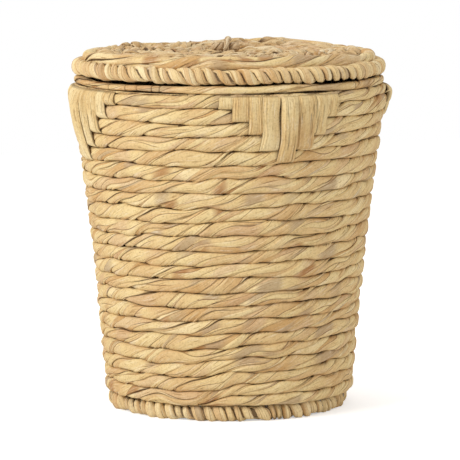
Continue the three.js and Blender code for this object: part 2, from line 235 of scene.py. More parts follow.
def strandFinish(name, look, greyAbove=0.66, rustAbove=0.72, fibres=1.0):
    finish, tree, shader = newFinish(name, look["roughness"], look["specular"])
    run = addNode(tree, "ShaderNodeAttribute", {"attribute_name": "run"}).outputs["Vector"]
    split = addNode(tree, "ShaderNodeSeparateXYZ", None, _0=run)
    leafPlace = addNode(tree, "ShaderNodeAttribute", {"attribute_name": "leaf"}).outputs["Fac"]
    paintedShade = addNode(tree, "ShaderNodeAttribute", {"attribute_name": "paintedShade"}).outputs["Fac"]
    leaf = mathNode(tree, "FLOOR", leafPlace)
    inLeaf = mathNode(tree, "SUBTRACT", leafPlace, leaf)

    # Noise along the strand, its second size given as a value that runs or jumps across it
    def pattern(length, second, detail=1.0, roughness=0.5):
        x = mathNode(tree, "MULTIPLY", split.outputs[0], 1 / length)
        y = mathNode(tree, "MULTIPLY", split.outputs[1], 1 / length)
        point = addNode(tree, "ShaderNodeCombineXYZ", None, X=x, Y=y, Z=second).outputs[0]
        return addNode(tree, "ShaderNodeTexNoise", None, Vector=point, Scale=1.0, Detail=detail,
                       Roughness=roughness).outputs[0]

    def perLeaf(step, shift):
        return mathNode(tree, "ADD", mathNode(tree, "MULTIPLY", leaf, step), shift)

    def cover(under, amount, share, colour):
        return mixColours(tree, mathNode(tree, "MULTIPLY", amount, share), under, linearColour(look[colour]))

    across = split.outputs[2]
    fibre = pattern(look["streakLength"], mathNode(tree, "MULTIPLY", across, 1 / look["fibreWidth"]), 3.0, 0.6)
    streak = pattern(2 * look["streakLength"], mathNode(tree, "MULTIPLY", across, 0.3 / look["fibreWidth"]))
    tone = pattern(look["leafLength"], perLeaf(7.31, 0.7), 0.0)
    patch = pattern(look["patchLength"], perLeaf(3.17, 40.3), 0.0)
    blush = pattern(look["patchLength"], perLeaf(5.73, 90.9), 0.0)
    edgeMix = pattern(0.6 * look["patchLength"], perLeaf(2.39, 7.7), 0.0)

    leafTone = mathNode(tree, "MULTIPLY", tone, 1 - look["streakShare"])
    streakTone = mathNode(tree, "MULTIPLY", streak, look["streakShare"])
    base = colourRamp(tree, mathNode(tree, "ADD", leafTone, streakTone), look["tones"])
    base = cover(base, rise(tree, patch, greyAbove, greyAbove + 0.08), look["greyShare"], "grey")
    base = cover(base, rise(tree, patch, 0.4, 0.3), look["rosyShare"], "rosy")
    base = cover(base, rise(tree, blush, rustAbove, rustAbove + 0.06), look["rustShare"], "rust")
    # A pale edge on the raised side of some leaves, before each step falls: bleaching, and a painted highlight
    paleEdgeHighlight = mathNode(tree, "MULTIPLY", rise(tree, inLeaf, 0.75, 0.97), rise(tree, edgeMix, 0.58, 0.7))
    base = cover(base, paleEdgeHighlight, look["edgeHighlightShare"], "bleachAndHighlight")
    base = cover(base, rise(tree, fibre, 0.56, 0.66), look["lightShare"], "bleachAndHighlight")
    base = cover(base, rise(tree, fibre, 0.42, 0.34), look["lineShare"] * fibres, "fibre")
    place = addNode(tree, "ShaderNodeTexCoord").outputs["Object"]
    speckle = addNode(tree, "ShaderNodeTexNoise", None, Vector=place, Scale=1 / look["speckle"], Detail=1.0)
    base = cover(base, rise(tree, speckle.outputs[0], 0.5, 0.34), look["speckleShare"], "fibre")
    fleck = pattern(0.3 * look["streakLength"], mathNode(tree, "MULTIPLY", across, 1.3 / look["fibreWidth"]))
    base = cover(base, rise(tree, fleck, 0.7, 0.78), look["fleckShare"], "fleck")
    # Painted shade: a thin dark line at the foot of some leaves' steps, under the edge of the leaf before
    seam = mathNode(tree, "MULTIPLY", rise(tree, inLeaf, 0.07, 0.035), rise(tree, edgeMix, 0.4, 0.54))
    base = cover(base, seam, look["seamShadeShare"], "fleck")
    # Painted shade in the creases, beside neighbours, in the notches and on the inner sides and cores
    base = cover(base, rise(tree, paintedShade, 0.3, 1.0), look["creaseShadeShare"], "crease")
    tree.links.new(base, shader.inputs["Base Color"])

    bump = addNode(tree, "ShaderNodeBump", None, Height=fibre, Strength=look["fibreRelief"] * fibres,
                   Distance=look["fibreHeight"])
    tree.links.new(bump.outputs[0], shader.inputs["Normal"])
    return finish


# Drawn steel wire, dull from handling: a grey metal with faint lengthwise scratches
wireLook = {"steel": "#77716a", "rust": "#5b4a3c", "grain": 3 * mm, "roughness": 0.42}


def wireFinish(name, look):
    finish, tree, shader = newFinish(name, look["roughness"], 0.5)
    shader.inputs["Metallic"].default_value = 1.0
    place = addNode(tree, "ShaderNodeTexCoord").outputs["Object"]
    noise = addNode(tree, "ShaderNodeTexNoise", None, Vector=place, Scale=1 / look["grain"], Detail=3.0)
    colour = mixColours(tree, rise(tree, noise.outputs[0], 0.45, 0.7), linearColour(look["steel"]),
                        linearColour(look["rust"]))
    tree.links.new(colour, shader.inputs["Base Color"])
    bump = addNode(tree, "ShaderNodeBump", None, Height=noise.outputs[0], Strength=0.2, Distance=0.1 * mm)
    tree.links.new(bump.outputs[0], shader.inputs["Normal"])
    return finish


# Twisted strand of the wall and of the base, which is greyer
wallHyacinth = strandFinish("twisted_hyacinth_strand", strandLook, 0.64)
insideHyacinth = strandFinish("twisted_hyacinth_inside", strandLook, 0.58, 0.7)
# Flat stems of the straps: even, pale, with long fibres
strapLook = {
    **strandLook, "tones": ((0.3, "#cfaa74"), (0.42, "#dabb84"), (0.5, "#e1c690"), (0.62, "#ead4a3")),
    "fibreWidth": 0.09, "rosyShare": 0.0,
}
strapHyacinth = strandFinish("flat_hyacinth_stem", strapLook, 0.7, 0.9, 0.8)
# Closely twisted rope: paler and evener than the wall
ropeTones = ((0.3, "#d2aa72"), (0.4, "#ddbb87"), (0.5, "#e5c892"), (0.6, "#ebd19c"), (0.7, "#f0d9a9"))
ropeLook = {**strandLook, "tones": ropeTones, "rosyShare": 0.2}
ropeHyacinth = strandFinish("twisted_hyacinth_rope", ropeLook, 0.68, 0.8)
# The lid's inner rounds: a little darker, with fainter fibres
lidTones = ((0.3, "#ba925f"), (0.4, "#caa876"), (0.5, "#d6b888"), (0.6, "#dfc69a"), (0.7, "#e7d3ad"))
lidHyacinth = strandFinish("twisted_hyacinth_lid", {**strandLook, "tones": lidTones}, 0.68, 0.75, 0.4)
# The pull: browned by hands
pullTones = ((0.32, "#a98d6a"), (0.45, "#c4a780"), (0.55, "#d6bf9a"), (0.66, "#e2d0b0"))
pullHyacinth = strandFinish("twisted_hyacinth_pull", {**strandLook, "tones": pullTones}, 0.55, 0.8)
bareWire = wireFinish("drawn_steel_wire", wireLook)
print("finishes made")


# Twisted strand

# Reach of a rounded box section, half its depth by half its height, in a direction
def sectionReach(angle, halfOut, halfUp, power):
    return ((np.abs(np.cos(angle)) / halfOut) ** power + (np.abs(np.sin(angle)) / halfUp) ** power) ** (-1 / power)


strand = {
    "leafClimb": 0.87,  # share of a leaf's width over which it rises, before it falls to the next
    "edgeColumns": 0.45,  # how far a ply's columns crowd towards its edges
    "leastReach": 0.25,  # a crease never goes deeper than this share of the section
    "notchDepth": 1.1 * mm,
    "jointFrom": 0.84,  # share of the section's half height or depth past which a neighbour shades it
    "jointWidth": 0.14,
    # The joints' painted shade: the lengths of its lighter and darker stretches, its mean and how patchy it is
    "jointLengths": (12 * mm, 60 * mm),  # of the light and dark stretches of a joint
    "jointShade": 0.55,
    "jointPatches": 0.4,
    "innerLean": 0.08,
    "coreColumns": 9,
    "corePower": 0.6,
}


# A sawtooth from -0.5 to 0.5 with a short fall
def shingle(place):
    place = place - np.floor(place)
    climb = strand["leafClimb"]
    return np.where(place < climb, place / climb, (1 - place) / (1 - climb)) - 0.5


# Plies that fill a section and wind round its middle as it runs on. Each ply is a tube of its own, a wedge
# whose rounded first edge lies over the sunk last edge of the ply beside it. Leaves overlap within a ply.
# line holds, for points along the strand, the metres along, the centre, the outward and upward directions,
# half the depth and half the height and how deeply a cord binds it; and the length if it is a ring, and the
# lowest that it may reach. Each slow wave has a number of its own, so that the strands differ.
def twistedStrand(name, line, twist, seed):
    along, ringLength = line["along"], line["ringLength"]
    lay = twist["lay"]
    run = np.stack([along, 0 * along], -1)
    if ringLength:
        lay = ringLength / round(ringLength / lay)
        turn = fullTurn * along / ringLength
        run = np.stack([np.cos(turn), np.sin(turn)], -1) * ringLength / fullTurn
    slow = lambda step: waver(seed * 97 + step, *twist["waverLengths"], ringLength)(along)[:, None]
    winding = twist["hand"] * fullTurn * along[:, None] / lay + twist["windWaver"] * slow(0)
    widths = [width * np.exp(twist["widthWaver"] * slow(1 + i)) for i, width in enumerate(twist["plyWidths"])]
    edges = [0 * widths[0]] + [part * fullTurn / sum(widths) for part in np.cumsum(widths, 0)]
    even = np.linspace(0, 1, twist["columns"])
    crowded = 0.5 - 0.5 * np.cos(math.pi * even)
    share = (1 - strand["edgeColumns"]) * even + strand["edgeColumns"] * crowded
    halfOut, halfUp = line["halfOut"][:, None], line["halfUp"][:, None]
    size = np.sqrt(halfOut * halfUp)
    thin = np.clip(size / twist["fullSize"], 0.1, 1)
    steepen = lambda angle: angle + twist["steep"] * np.sin(2 * angle)  # creases cross the outer face faster
    tubes = []
    for ply, (first, last) in enumerate(zip(edges, edges[1:])):
        turned = first + (last - first) * share
        angle = steepen(turned + winding)
        reach = sectionReach(angle, halfOut, halfUp, twist["power"])
        nearOver = np.clip((turned - first) * size / twist["overWidth"], 0, 1)
        over = twist["overDepth"] * thin * (1 - np.sqrt(1 - (1 - nearOver) ** 2))
        sink = twist["sink"] * thin * np.clip(1 + twist["sinkWaver"] * slow(20 + ply), 0.1, 3)
        nearUnder = np.clip((last - turned) * size / twist["sinkWidth"], 0, 1)
        under = sink * (1 - smoothStep(nearUnder))
        pillow = twist["pillow"] * thin * np.abs(2 * share - 1) ** 3
        leaf = share * twist["leaves"] + 0.3 * slow(30 + ply)
        leafStep = twist["leafStep"] * np.clip(1 + 0.8 * slow(50 + ply), 0.1, 2.2)
        leaves = leafStep * thin * shingle(leaf) * np.sin(math.pi * share) ** 0.5
        puff = twist["puff"] * thin * slow(40 + ply)
        notch = line["notch"][:, None] + 0 * turned
        radius = reach - over - under - pillow + leaves + puff - strand["notchDepth"] * notch
        radius = np.maximum(radius, strand["leastReach"] * reach)
        places = radius * np.cos(angle) / halfOut, radius * np.sin(angle) / halfUp
        jointNear = np.maximum.reduce([
            amount * smoothStep((np.abs(place) - strand["jointFrom"]) / strand["jointWidth"])
            for amount, place in zip(twist["joints"], places)
        ])
        # Painted shade: patchy along the joints beside its neighbours, deep where a ply's edge sinks into a
        # crease, and in the notches
        patchy = waver(seed * 97 + 60 + ply, *strand["jointLengths"], ringLength)(along)[:, None]
        jointShade = np.clip(strand["jointShade"] + strand["jointPatches"] * patchy, 0.15, 1)
        sunk = np.clip(sink / twist["sink"], 0, 1.2)
        pocketShade = sunk * (twist["creaseShade"] + (1 - twist["creaseShade"]) * jointNear)
        paintedShade = np.maximum.reduce([
            pocketShade * (1 - nearOver) ** 2, 0.7 * pocketShade * (1 - nearUnder) ** 4, jointShade * jointNear, 0.9 * notch,
        ])
        # The wedge's inner side, back to its first edge, painted in full crease shade
        lean = strand["innerLean"]
        innerAngle = steepen(np.concatenate([last - lean, (first + last) / 2, first + lean], 1) + winding)
        innerRadius = np.concatenate([0.5 * reach[:, -1:], 0.1 * size, 0.5 * reach[:, :1]], 1)
        angle = np.concatenate([angle, innerAngle, angle[:, :1]], 1)
        radius = np.concatenate([radius, innerRadius, radius[:, :1]], 1)
        paintedShade = np.concatenate([paintedShade, np.ones_like(innerAngle), paintedShade[:, :1]], 1)
        leaf = np.concatenate([leaf, leaf[:, -1:], leaf[:, -1:], leaf[:, :1], leaf[:, :1]], 1)
        across = np.concatenate([share, [1, 1, 0, 0]])[None, :] + 0 * angle
        points = (
            line["centre"][:, None]
            + line["out"][:, None] * (radius * np.cos(angle))[..., None]
            + line["up"][:, None] * (radius * np.sin(angle))[..., None]
        )
        points[..., 2] = np.maximum(points[..., 2], line["lowest"])
        plyNumber = 4 * seed + ply
        around = np.concatenate([run[:, None] + 0 * points[..., :2], (across + 3.7 * plyNumber)[..., None]], -1)
        attributes = {"run": around, "leaf": leaf + 10 * plyNumber, "paintedShade": paintedShade}
        if not ringLength:
            points, attributes = closeEnds(points, attributes)
        tubes.append(tubeFromGrid(f"{name}_ply", points, attributes))

    # A plain core, painted in full crease shade, closes the chinks between neighbours
    around = np.linspace(0, fullTurn, strand["coreColumns"])
    boxed = lambda wave: np.sign(wave) * np.abs(wave) ** strand["corePower"]
    coreOut, coreUp = (part * half for part, half in zip(twist["core"], (halfOut, halfUp)))
    points = (
        line["centre"][:, None]
        + line["out"][:, None] * (coreOut * boxed(np.cos(around)))[..., None]
        + line["up"][:, None] * (coreUp * boxed(np.sin(around)))[..., None]
    )
    points[:, -1] = points[:, 0]
    run = np.concatenate([run[:, None] + 0 * points[..., :2], 0 * points[..., 2:]], -1)
    attributes = {"run": run, "leaf": 0.5 + 0 * points[..., 0], "paintedShade": 1 + 0 * points[..., 0]}
    if not ringLength:
        points, attributes = closeEnds(points, attributes)
    tubes.append(tubeFromGrid(f"{name}_core", points, attributes))
    return finishTubes(name, tubes)


# Wall: one spiral, a piece for each turn

wall = {
    "seam": math.radians(-37),
    "turns": 22,
    "facets": 22,  # of the CAD rings, between which a joint's height runs straight
    "crownRadii": (149.4 * mm, 165.9 * mm, 190.4 * mm),  # at the foot, half way and under the rim
    "halfDepth": 9.2 * mm,
    "tip": 1.5 * mm,
    "firstRisePower": 0.12,
    "risePowerStep": 0.08,
    "jointWaver": 0.9 * mm,
    "jointRipple": 0.6 * mm,
    "nest": 1.03,  # each course presses a little into its neighbours
    "steps": 260,
    "tipDepth": 0.45,  # share of the full depth that is left at a tip
    "pressDepth": 0.18,  # share of the depth that a strap presses away
    "pressReach": math.radians(1.1),  # beyond a strap's edge
}
# A strand's section and twist: the hand and length of a turn, the plies' widths and how they waver, the power
# of its rounded box, the size at which its creases have their full depth, then how a ply's first edge stands
# over its neighbour and its last edge sinks, and its leaves, swellings and shades
wallTwist = {
    "hand": 1, "lay": 106 * mm, "plyWidths": (2.4, 1.5, 2.1), "windWaver": 0.36, "widthWaver": 0.45,
    "waverLengths": (80 * mm, 300 * mm), "power": 3.2, "fullSize": 8.3 * mm, "overWidth": 1.6 * mm,
    "overDepth": 1.2 * mm, "sink": 1.0 * mm, "sinkWaver": 0.8, "sinkWidth": 6.5 * mm, "pillow": 0.3 * mm,
    "leaves": 1.2, "leafStep": 0.9 * mm, "puff": 0.4 * mm, "creaseShade": 0.82, "steep": -0.12, "columns": 24,
    "core": (0.35, 1),  # shares of half its depth and half its height
    # joints: how dark the painted shade gets next to the neighbours
    "joints": (0, 1),  # how dark it gets next to its neighbours, beside it and above and below
}
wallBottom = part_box("wall_course_01")[0].z
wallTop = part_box("wall_course_23")[1].z + 0.15 * mm
coursePitch = (wallTop - wallBottom) / wall["turns"]


def crownRadius(height):
    t = np.clip((height - wallBottom) / (wallTop - wallBottom), 0, 1)
    foot, middle, top = wall["crownRadii"]
    return foot * (1 - t) * (1 - 2 * t) + middle * 4 * t * (1 - t) + top * t * (2 * t - 1)


# The top of the basket and its lid aren't level: lower towards the camera side, higher at the sides and behind.
# A lift is its mean, tilt and saddle in millimetres, a swelling its height in millimetres, its place in degrees
# from the camera side and its width in degrees.
unevenTop = {
    "rim": (1.5, 2.2, -0.6),
    "wallFrom": 0.6,  # share of the wall's height, above which it follows the rim
    "rope": (2.2, 1.1, -1.8),
    "ropeSwellings": ((2.0, 165, 40), (1.0, 0, 55)),
    "lidDome": (3.6, 4.0),  # the lift at its middle, and how much lower its edge is
    "lidTilt": 1.0,
    "lidLean": 0.8,  # up to the right
    "lidSwellings": ((5.0, 160, 24), (1.6, 207, 25)),
    "lidSwellsFrom": 0.35,  # share of its radius, and in full from twice that
    "lidSag": ((3.0, 85, 25),),
    "lidSagsFrom": 0.8,
}


def topLift(azimuth, mean, tilt, saddle):
    away = azimuth - math.radians(cameraDegrees)
    return (mean - tilt * np.cos(away) + saddle * np.cos(2 * away)) * mm


def rimLift(azimuth):
    return topLift(azimuth, *unevenTop["rim"])


def wallLift(azimuth, height):
    share = (height - wallBottom) / (wallTop - wallBottom)
    return rimLift(azimuth) * smoothStep((share - unevenTop["wallFrom"]) / (1 - unevenTop["wallFrom"]))


# A soft bump round a ring, at degrees from the camera side
def swell(azimuth, degrees, width):
    away = (np.degrees(azimuth) - cameraDegrees - degrees + 180) % 360 - 180
    return np.exp(-(away / width) ** 2)


def swellings(azimuth, bumps):
    return sum(height * mm * swell(azimuth, degrees, width) for height, degrees, width in bumps)


def ropeLift(azimuth):
    return topLift(azimuth, *unevenTop["rope"]) + swellings(azimuth, unevenTop["ropeSwellings"])


# The lid domes a little, swells at the far right and sags where it meets the rope on the right
def lidLift(azimuth, reach):
    across = np.sin(azimuth - math.radians(cameraDegrees))
    middle, drop = unevenTop["lidDome"]
    lift = topLift(azimuth, middle - drop * reach ** 2, unevenTop["lidTilt"] * reach, 0)
    lift += unevenTop["lidLean"] * mm * reach * across
    swellsFrom, sagsFrom = unevenTop["lidSwellsFrom"], unevenTop["lidSagsFrom"]
    lift += swellings(azimuth, unevenTop["lidSwellings"]) * smoothStep((reach - swellsFrom) / swellsFrom)
    return lift - swellings(azimuth, unevenTop["lidSag"]) * smoothStep((reach - sagsFrom) / (1 - sagsFrom))


jointSway = waver(5, 0.11, 0.31)
jointRipple = waver(6, 0.035, 0.08)


# Height of the joint under a turn, at shares of the way round from the seam
def jointHeight(turn, share):
    azimuth = wall["seam"] + fullTurn * share
    if turn == 0:
        return wallBottom + 0 * share
    if turn > wall["turns"]:
        return wallTop + rimLift(azimuth)
    power = min(1, wall["firstRisePower"] + (turn - 1) * wall["risePowerStep"])
    corners = np.linspace(0, 1, wall["facets"] + 1)
    climb = np.interp(share, corners, corners ** power)
    sway = wall["jointWaver"] * jointSway(turn + share) + wall["jointRipple"] * jointRipple(turn + share)
    height = wallBottom + coursePitch * (turn - 1 + climb) + sway
    height += wallLift(azimuth, height)
    return np.clip(height, wallBottom + wall["tip"], wallTop + rimLift(azimuth) - wall["tip"])


turnHeights = [wallBottom + coursePitch * (turn - 0.5) for turn in range(wall["turns"] + 1)]
turnLengths = [fullTurn * float(crownRadius(height)) for height in turnHeights]


# Straps over the wall: from, to, and length in courses
leftStems = ((-25.9, -21.3, 1), (-21.3, -15.6, 2), (-15.6, -10.9, 3), (-10.9, -4.8, 4))
middleStem = (-4.2, 1.8, 5)
rightStems = ((2.1, 8.9, 4), (8.9, 14.3, 3), (14.3, 19.2, 2))
closeStems = ((2.1, 6.6, 4), (6.6, 12.4, 3), (12.4, 17.8, 2), (17.8, 22.9, 1))
strapGroups = {"front": (0, rightStems), "right": (90, rightStems), "back": (180, rightStems),
               "left": (269.3, closeStems)}


# A strap's azimuth, its share of the way round from the seam and the last turn that it covers
def strapPlace(group, stem):
    azimuth = math.radians(group + (stem[0] + stem[1]) / 2)
    share = (azimuth - wall["seam"]) % fullTurn / fullTurn
    return azimuth, share, round(wall["turns"] + 1 - share - stem[2])


# How hard the straps press on a turn, from 0 to 1
def strapPress(turn, azimuth):
    press = 0 * azimuth
    for group, rightSide in strapGroups.values():
        for stem in (*leftStems, middleStem, *rightSide):
            middle, _, lastTurn = strapPlace(group, stem)
            if turn >= lastTurn:
                fromMiddle = np.abs((azimuth - middle + math.pi) % fullTurn - math.pi)
                beyond = np.maximum(fromMiddle - math.radians(stem[1] - stem[0]) / 2, 0)
                press = np.maximum(press, np.exp(-(beyond / wall["pressReach"]) ** 2))
    return press


def wallLine(turn):
    share = np.linspace(0, 1, wall["steps"] + 1)
    low, high = jointHeight(turn, share), jointHeight(turn + 1, share)
    middle = (low + high) / 2
    fullness = np.clip((high - low) / coursePitch, 0, 1)
    azimuth = wall["seam"] + fullTurn * share
    press = strapPress(turn, azimuth)
    centreRadius = crownRadius(middle) - wall["halfDepth"]
    slope = (crownRadius(high) - crownRadius(low)) / (high - low)
    depth = (wall["tipDepth"] + (1 - wall["tipDepth"]) * fullness) * (1 - wall["pressDepth"] * press)
    out = outward(azimuth)
    return {
        "along": sum(turnLengths[:turn]) + turnLengths[turn] * share,
        "centre": out * centreRadius[:, None] + np.array([0, 0, 1]) * middle[:, None],
        "out": out,
        "up": np.array([0, 0, 1]) + out * slope[:, None],
        "halfOut": wall["halfDepth"] * depth,
        "halfUp": wall["nest"] * (high - low) / 2,
        "ringLength": None,
        "notch": 0 * share,
        "lowest": 0.0,
    }


for turn in range(wall["turns"] + 1):
    number = f"{turn + 1:02d}"
    course = twistedStrand(f"wall_strand_{number}", wallLine(turn), wallTwist, 1)
    nodes = [f"wall_course_{number}"] + (["inner_weave"] if turn in (0, 11) else [])
    settle(course, "basket", nodes, wallHyacinth)
print("wall made")


# Rings of strand: foot border, rim, lid and base

# A ring's line. It sways up and down, follows a lift, and cords bind it at its notches, in degrees.
def ringLine(radius, height, halfOut, halfUp, steps, sway=0.0, seed=1, notches=(), lift=lambda azimuth: 0.0):
    share = np.linspace(0, 1, steps + 1)
    azimuth = fullTurn * share
    length = fullTurn * radius
    wave = sway * waver(seed * 31, 60 * mm, 240 * mm, length)(share * length)
    notch = 0 * share
    for degrees in notches:
        away = (azimuth - math.radians(degrees) + math.pi) % fullTurn - math.pi
        notch = np.maximum(notch, np.exp(-(away * radius / (0.9 * mm)) ** 2))
    out = outward(azimuth)
    return {
        "along": share * length,
        "centre": out * radius + np.array([0, 0, 1]) * (height + wave + lift(azimuth))[:, None],
        "out": out,
        "up": np.array([0, 0, 1]) + 0 * out,
        "halfOut": halfOut + 0 * share,
        "halfUp": halfUp + 0 * share,
        "ringLength": length,
        "notch": notch,
        "lowest": 0.1 * mm,  # nothing dips under the ground
    }


rope = {
    "hand": -1, "lay": 27.5 * mm, "plyWidths": (1, 1), "windWaver": 0.25, "widthWaver": 0.12,
    "waverLengths": (30 * mm, 130 * mm), "power": 2.3, "fullSize": 8.8 * mm, "overWidth": 8 * mm,
    "overDepth": 3.6 * mm, "sink": 3.2 * mm, "sinkWaver": 0.2, "sinkWidth": 10 * mm, "pillow": 1.8 * mm,
    "leaves": 2.3, "leafStep": 0.6 * mm, "puff": 0.7 * mm, "creaseShade": 0.5, "steep": 0.38, "columns": 20,
    "core": (0.6, 0.6), "joints": (0, 0.4),
}
edgeRope = {"innerRadius": 170.5 * mm, "outerRadius": 187.3 * mm, "steps": 900}
footRope = {
    "innerRadius": 127 * mm, "outerRadius": 145.0 * mm, "steps": 900,
    "drawnIn": 4.5 * mm,  # at the right of the camera side
    "drawnAt": (80, 45),  # degrees from the camera side, and width
}
rimRod = {
    "innerRadius": 171.5 * mm, "outerRadius": 185 * mm, "steps": 900, "lay": 150 * mm,
    "slim": 0.25,  # share of its height, taken off above at the left of the camera side
    "slimAt": (-45, 22),
    # where a stem's end is bound in, in degrees
    "notches": (-84.9, -72, -63.2, -57.9, -51.6, -48.3, 30, 96, 104, 131, 170, 181, 187, 222),
}


# A ring of strand in the height of its node. Deepen adds to it from below.
def ringPiece(name, node, body, ring, twist, seed, sway=0.0, lift=lambda azimuth: 0.0,
              deepen=lambda azimuth: 0.0, finish=wallHyacinth):
    low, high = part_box(node)
    radius = (ring["innerRadius"] + ring["outerRadius"]) / 2
    halfOut = (ring["outerRadius"] - ring["innerRadius"]) / 2
    line = ringLine(radius, (low.z + high.z) / 2, halfOut, (high.z - low.z) / 2, ring["steps"], sway, seed,
                    ring.get("notches", ()), lift)
    azimuth = fullTurn * np.linspace(0, 1, ring["steps"] + 1)
    if "drawnIn" in ring:
        line["centre"] -= line["out"] * (ring["drawnIn"] * swell(azimuth, *ring["drawnAt"]))[:, None]
    if "slim" in ring:
        slimness = ring["slim"] * swell(azimuth, *ring["slimAt"])
        line["centre"][:, 2] -= line["halfUp"] * slimness
        line["halfUp"] = line["halfUp"] * (1 - slimness)
    extra = deepen(azimuth)
    line["centre"][:, 2] -= extra / 2
    line["halfUp"] = line["halfUp"] + extra / 2
    piece = twistedStrand(name, line, twist, seed)
    return settle(piece, body, [node], finish)


ringPiece("lid_rope", "lid_edge_rope", "lid", edgeRope, rope, 40, 0.3 * mm, ropeLift, finish=ropeHyacinth)
footTwist = {
    **rope, "lay": 23.5 * mm, "windWaver": 0.4, "widthWaver": 0.28, "waverLengths": (26 * mm, 90 * mm),
    "overDepth": 4.4 * mm, "sink": 4.0 * mm, "pillow": 2.2 * mm, "puff": 1.3 * mm, "power": 2.6, "steep": 0.48,
    "joints": (0, 0.2),
}
ringPiece("foot_rope", "foot_border", "basket", footRope, footTwist, 41, finish=ropeHyacinth)
rimTwist = {
    **wallTwist, "lay": rimRod["lay"], "plyWidths": (1.3, 1), "sink": 0.5 * mm, "overDepth": 0.6 * mm,
    "fullSize": 5.4 * mm, "pillow": 0.2 * mm, "power": 3.0, "core": (0.7, 0.95),
    "joints": (0, 0.7),
}
ringPiece("rim_rod", "rim_wrap", "basket", rimRod, rimTwist, 42, 0.3 * mm, rimLift)

lidRounds = {
    "outerRadius": 175.6 * mm,
    "pitch": 15.76 * mm,
    "lays": (170, 34, 38, 44, 50, 50, 50, 50, 46, 40),  # millimetres
    "sinks": (1.4, 4.6, 4.9, 4.9, 4.7, 4.5, 4.3, 3.9, 3.2, 2.7),  # millimetres
    "nest": 1.04,  # each round reaches a little into the next
    "stepLength": 3.2 * mm,
    "stepsPerLay": 14,
    "leastSteps": 90,
    "outerDeeper": 1.5 * mm,  # the outer round lies on the rope's shoulder, also where the lid swells
    "outerSway": 0.5 * mm,
    "sway": 1.1 * mm,
}
lidTwist = {**wallTwist, "fullSize": 7.8 * mm, "power": 2.4}
outerTwist = {**lidTwist, "columns": 16, "core": (0.8, 0.35), "joints": (0, 0)}
innerTwist = {
    **lidTwist, "plyWidths": (1.2, 1), "overDepth": 4.0 * mm, "overWidth": 3 * mm, "puff": 1.3 * mm,
    "waverLengths": (24 * mm, 90 * mm), "creaseShade": 1.3, "steep": 0.1, "columns": 20, "core": (1, 0.35),
    "joints": (1, 0),
}
for i, (lay, sink) in enumerate(zip(lidRounds["lays"], lidRounds["sinks"])):
    number = f"{i + 1:02d}"
    outer = lidRounds["outerRadius"] - i * lidRounds["pitch"]
    stepLength = min(lidRounds["stepLength"], lay * mm / lidRounds["stepsPerLay"])
    ring = {"innerRadius": outer - lidRounds["nest"] * lidRounds["pitch"], "outerRadius": outer,
            "steps": max(lidRounds["leastSteps"], round(fullTurn * outer / stepLength))}
    twist = {**(innerTwist if i else outerTwist), "lay": lay * mm, "sink": sink * mm}
    reach = outer / lidRounds["outerRadius"]
    below = lambda azimuth: lidRounds["outerDeeper"] + swellings(azimuth, unevenTop["lidSwellings"])
    ringPiece(f"lid_strand_{number}", f"lid_course_{number}", "lid", ring, twist, 50 + i,
              lidRounds["sway" if i else "outerSway"], lambda azimuth: lidLift(azimuth, reach),
              (lambda azimuth: 0.0) if i else below, lidHyacinth if i else wallHyacinth)
print("rings made")


# A closed disc of strand at the middle of a spiral, in the height of its node
def middlePiece(name, node, body, disc, seed, finish):
    low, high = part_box(node)
    half = disc["radius"] / 2
    line = ringLine(half, (low.z + high.z) / 2, half, (high.z - low.z) / 2, disc["steps"],
                    lift=lambda azimuth: disc["lift"])
    settle(twistedStrand(name, line, {**wallTwist, **disc["twist"]}, seed), body, [node], finish)


lidMiddle = {"radius": 18 * mm, "steps": 60, "lift": 2.0 * mm, "twist": {"lay": 40 * mm, "columns": 14}}
middlePiece("lid_middle", "lid_centre_coil", "lid", lidMiddle, 70, wallHyacinth)

baseRounds = {
    "outerRadius": 128.2 * mm, "innerRadius": 8 * mm, "count": 7, "stepLength": 5 * mm, "leastSteps": 60,
    "sway": 0.2 * mm, "firstLay": 95 * mm, "layStep": 6 * mm,
}
baseTwist = {
    **wallTwist, "columns": 12, "sink": 1.2 * mm, "fullSize": 6.5 * mm, "core": (1, 0.35), "joints": (1, 0),
}
baseMiddle = {
    "radius": 8 * mm, "steps": 40, "lift": 0.0, "twist": {"columns": 12, "lay": 25 * mm, "fullSize": 5 * mm},
}
baseLow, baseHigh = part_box("base_mat")
basePitch = (baseRounds["outerRadius"] - baseRounds["innerRadius"]) / baseRounds["count"]
for i in range(baseRounds["count"]):
    outer = baseRounds["outerRadius"] - i * basePitch
    steps = max(baseRounds["leastSteps"], round(fullTurn * outer / baseRounds["stepLength"]))
    line = ringLine(outer - basePitch / 2, (baseLow.z + baseHigh.z) / 2, basePitch / 2,
                    (baseHigh.z - baseLow.z) / 2, steps, baseRounds["sway"], 80 + i)
    lay = baseRounds["firstLay"] - i * baseRounds["layStep"]
    piece = twistedStrand(f"base_strand_{i + 1:02d}", line, {**baseTwist, "lay": lay}, 80 + i)
    settle(piece, "basket", ["base_mat"], insideHyacinth)
middlePiece("base_middle", "base_mat", "basket", baseMiddle, 90, insideHyacinth)
print("base made")


# Straps: flat stems laid over the wall under the rim

